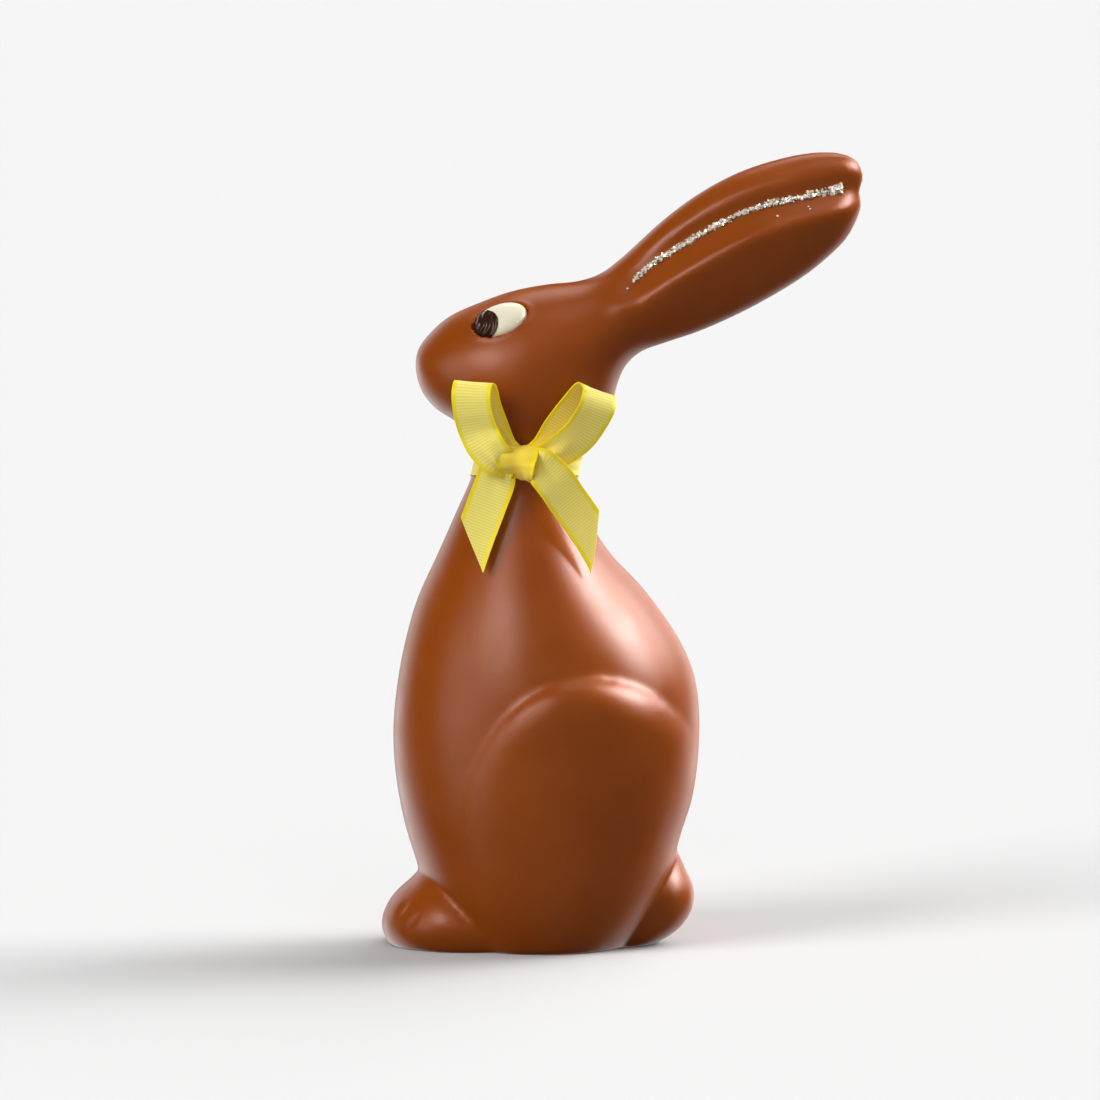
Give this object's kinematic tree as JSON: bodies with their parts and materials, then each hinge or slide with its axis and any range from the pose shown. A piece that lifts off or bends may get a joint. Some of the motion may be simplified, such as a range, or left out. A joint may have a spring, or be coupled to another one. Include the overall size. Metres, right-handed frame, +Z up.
{
  "type": "chocolate bunny",
  "caption": "Moulded milk chocolate bunny sitting upright with one long ear laid back, white chocolate eyes, a line of edible glitter in the ear and a yellow ribbon bow at the neck.",
  "frame": {"origin": "centre of the flat base that the bunny stands on", "axes": "+Z up, -X the way the bunny looks, -Y the bunny's left, where the bow is"},
  "size_m": [0.1202, 0.0592, 0.1997],
  "materials": {
    "milk_chocolate": "satin, as moulded chocolate",
    "white_chocolate": "satin, as moulded chocolate",
    "dark_chocolate": "glossy, as moulded chocolate",
    "yellow_ribbon": "grosgrain with satin edges",
    "edible_glitter": "silver sparkle"
  },
  "bodies": {
    "root": {"chocolate_bunny": "milk_chocolate", "eye_white_left": "white_chocolate", "eye_white_right": "white_chocolate", "pupil_left": "dark_chocolate", "pupil_right": "dark_chocolate", "ribbon": "yellow_ribbon"}
  },
  "joints": []
}
